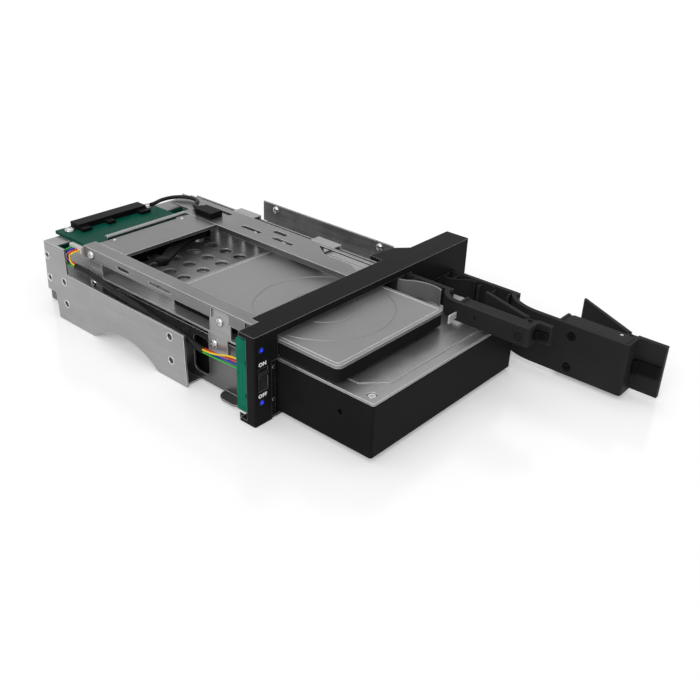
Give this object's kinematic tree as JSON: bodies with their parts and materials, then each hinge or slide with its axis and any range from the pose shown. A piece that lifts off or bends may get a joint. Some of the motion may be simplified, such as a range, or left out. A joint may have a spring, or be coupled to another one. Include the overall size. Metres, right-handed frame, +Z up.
{
  "type": "hot swap drive cage",
  "caption": "Hot swap cage for a 5.25 inch bay with one 3.5 inch and one 2.5 inch drive behind two latched swing doors.",
  "frame": {"origin": "Middle of the bezel's front face at its bottom edge, where the cage slides into the bay.", "axes": "+X to the right seen from the front, +Y to the rear of the bay, +Z up"},
  "size_m": [0.1574, 0.2856, 0.0452],
  "materials": {
    "black_matte": "matte black plastic",
    "black_satin": "satin black moulded plastic",
    "blue_light": "clear blue lens",
    "board_green": "green board lacquer",
    "bright_steel": "bright plated steel",
    "drive_black": "black painted casting",
    "drive_silver": "satin aluminium",
    "leaf_grey": "light grey moulded plastic",
    "sheath_black": "black sleeve",
    "white_plastic": "off-white connector plastic",
    "wire_blue": "blue insulation",
    "wire_green": "green insulation",
    "wire_red": "red insulation",
    "wire_yellow": "yellow insulation",
    "zinc": "zinc coated sheet steel"
  },
  "bodies": {
    "cage": {"bezel": "black_satin", "drive25_socket": "black_matte", "drive35_socket": "black_matte", "ejector_arm": "black_matte", "front_light_board": "board_green", "front_wire_header": "white_plastic", "harness_sheath": "sheath_black", "left_side_plate": "zinc", "left_top_rail": "zinc", "loop_cable": "sheath_black", "loop_cable_plug": "black_matte", "lower_back_board": "board_green", "lower_bay_shell": "zinc", "lower_hinge_pin": "bright_steel", "rear_board": "board_green", "rear_board_bar": "bright_steel", "rear_board_screws": "bright_steel", "rear_board_socket": "black_matte", "rear_bridge": "zinc", "rear_wire_header": "white_plastic", "right_side_plate": "zinc", "right_top_rail": "zinc", "status_lights": "blue_light", "strike_post": "black_satin", "strike_post_screws": "bright_steel", "switch_housing": "black_matte", "tab_screws": "bright_steel", "top_cross_plate": "zinc", "upper_bay_tray": "zinc", "upper_hinge_pin": "bright_steel", "wire_blue": "wire_blue", "wire_green": "wire_green", "wire_red": "wire_red", "wire_yellow": "wire_yellow"},
    "lower_door": {"lower_door": "black_satin", "lower_door_screws": "black_matte", "lower_push_plate": "black_matte", "lower_flap_pin": "bright_steel"},
    "lower_release": {"lower_release_flap": "black_satin"},
    "lower_latch": {"lower_latch_tongue": "black_matte"},
    "upper_door": {"upper_door": "black_satin", "upper_push_plate": "leaf_grey", "upper_door_hook": "bright_steel", "upper_flap_pin": "bright_steel"},
    "upper_release": {"upper_release_flap": "black_satin"},
    "upper_latch": {"upper_latch_tongue": "black_matte"},
    "drive35": {"drive35_body": "drive_black", "drive35_cover": "drive_silver", "drive35_screws": "bright_steel"},
    "drive25": {"drive25_body": "drive_black", "drive25_cover": "drive_silver"},
    "rocker": {"power_rocker": "black_matte"}
  },
  "joints": [
    {"name": "drive35_slide", "type": "slide", "parent": "cage", "child": "drive35", "axis": [0, 1, 0], "range_m": [0, 0.07]},
    {"name": "drive25_slide", "type": "slide", "parent": "cage", "child": "drive25", "axis": [0, 1, 0], "range_m": [0, 0.0485]},
    {"name": "lower_door_hinge", "type": "hinge", "parent": "cage", "child": "lower_door", "pos_m": [0.0585, 0.0065, 0.0148], "axis": [0, 0, -1], "range_deg": [0, 90]},
    {"name": "upper_door_hinge", "type": "hinge", "parent": "cage", "child": "upper_door", "pos_m": [0.021, 0.0055, 0.034], "axis": [0, 0, -1], "range_deg": [0, 90]},
    {"name": "lower_flap_hinge", "type": "hinge", "parent": "lower_door", "child": "lower_release", "pos_m": [0.063, -0.0958, 0.0148], "axis": [0, 0, 1], "range_deg": [0, 28.7]},
    {"name": "upper_flap_hinge", "type": "hinge", "parent": "upper_door", "child": "upper_release", "pos_m": [0.0245, -0.0658, 0.034], "axis": [0, 0, 1], "range_deg": [0, 17.4]},
    {"name": "lower_latch_slide", "type": "slide", "parent": "lower_door", "child": "lower_latch", "axis": [0, -1, 0], "range_m": [0, 0.003]},
    {"name": "upper_latch_slide", "type": "slide", "parent": "upper_door", "child": "upper_latch", "axis": [0, -1, 0], "range_m": [0, 0.003]},
    {"name": "rocker_hinge", "type": "hinge", "parent": "cage", "child": "rocker", "pos_m": [-0.0694, 0.0035, 0.0215], "axis": [-1, 0, 0], "range_deg": [0, 16]}
  ],
  "couplings": [
    {"joint": "lower_door_hinge", "follows": "drive35_slide", "rad_per_m": 22.44},
    {"joint": "upper_door_hinge", "follows": "drive25_slide", "rad_per_m": 32.388},
    {"joint": "lower_latch_slide", "follows": "lower_flap_hinge", "m_per_rad": 0.0059891},
    {"joint": "upper_latch_slide", "follows": "upper_flap_hinge", "m_per_rad": 0.0098786}
  ]
}
